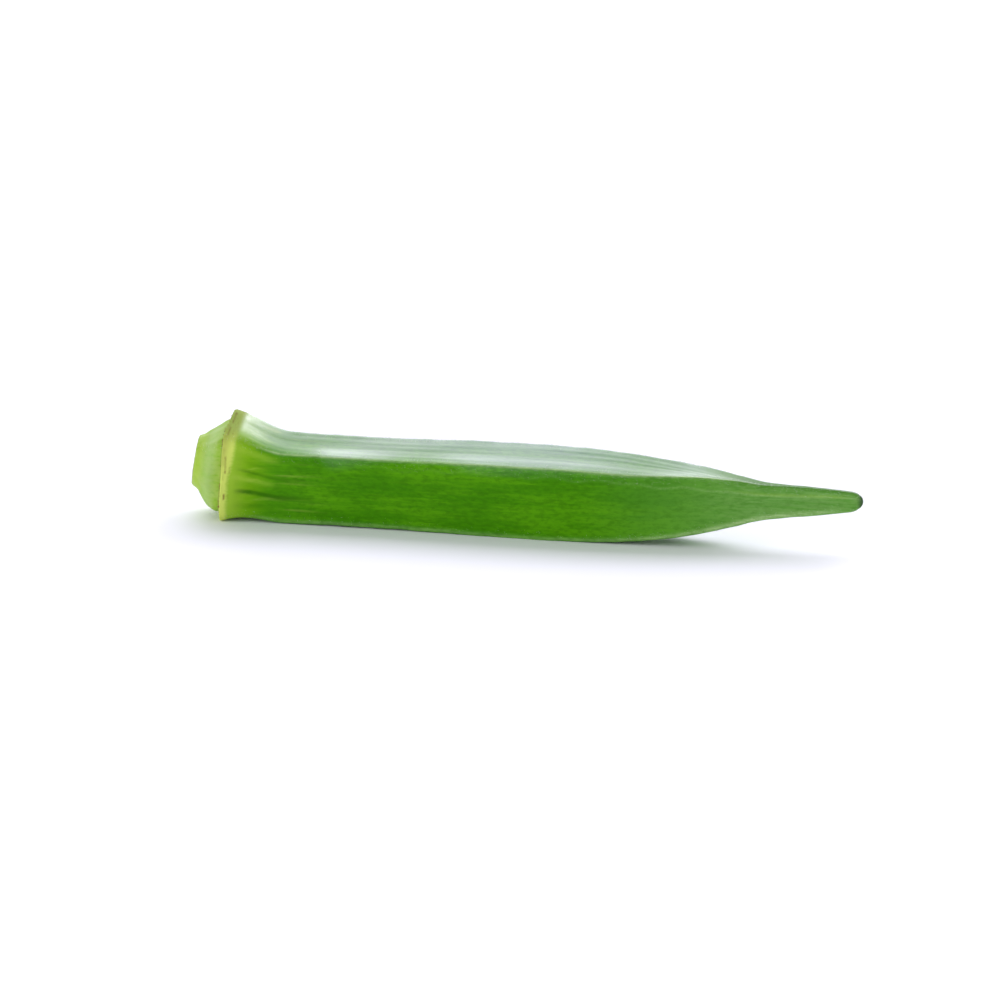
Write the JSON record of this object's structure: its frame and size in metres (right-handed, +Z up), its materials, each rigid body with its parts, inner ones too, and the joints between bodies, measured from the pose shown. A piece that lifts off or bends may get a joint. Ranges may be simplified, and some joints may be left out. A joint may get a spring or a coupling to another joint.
{
  "type": "okra pod",
  "caption": "Whole fresh okra pod, lying on its side: ribbed tapering body, ring, conical cap with a short cut stem, and a slender beak at the tip.",
  "frame": {"origin": "on the surface that the pod lies on, below the middle of its box", "axes": "+X along the pod from the cut stem to the tip, +Z up, -Y the side that the widest facet faces"},
  "size_m": [0.1392, 0.0204, 0.0215],
  "materials": {
    "pod_skin": "satin"
  },
  "bodies": {
    "root": {"okra_pod": "pod_skin"}
  },
  "joints": []
}
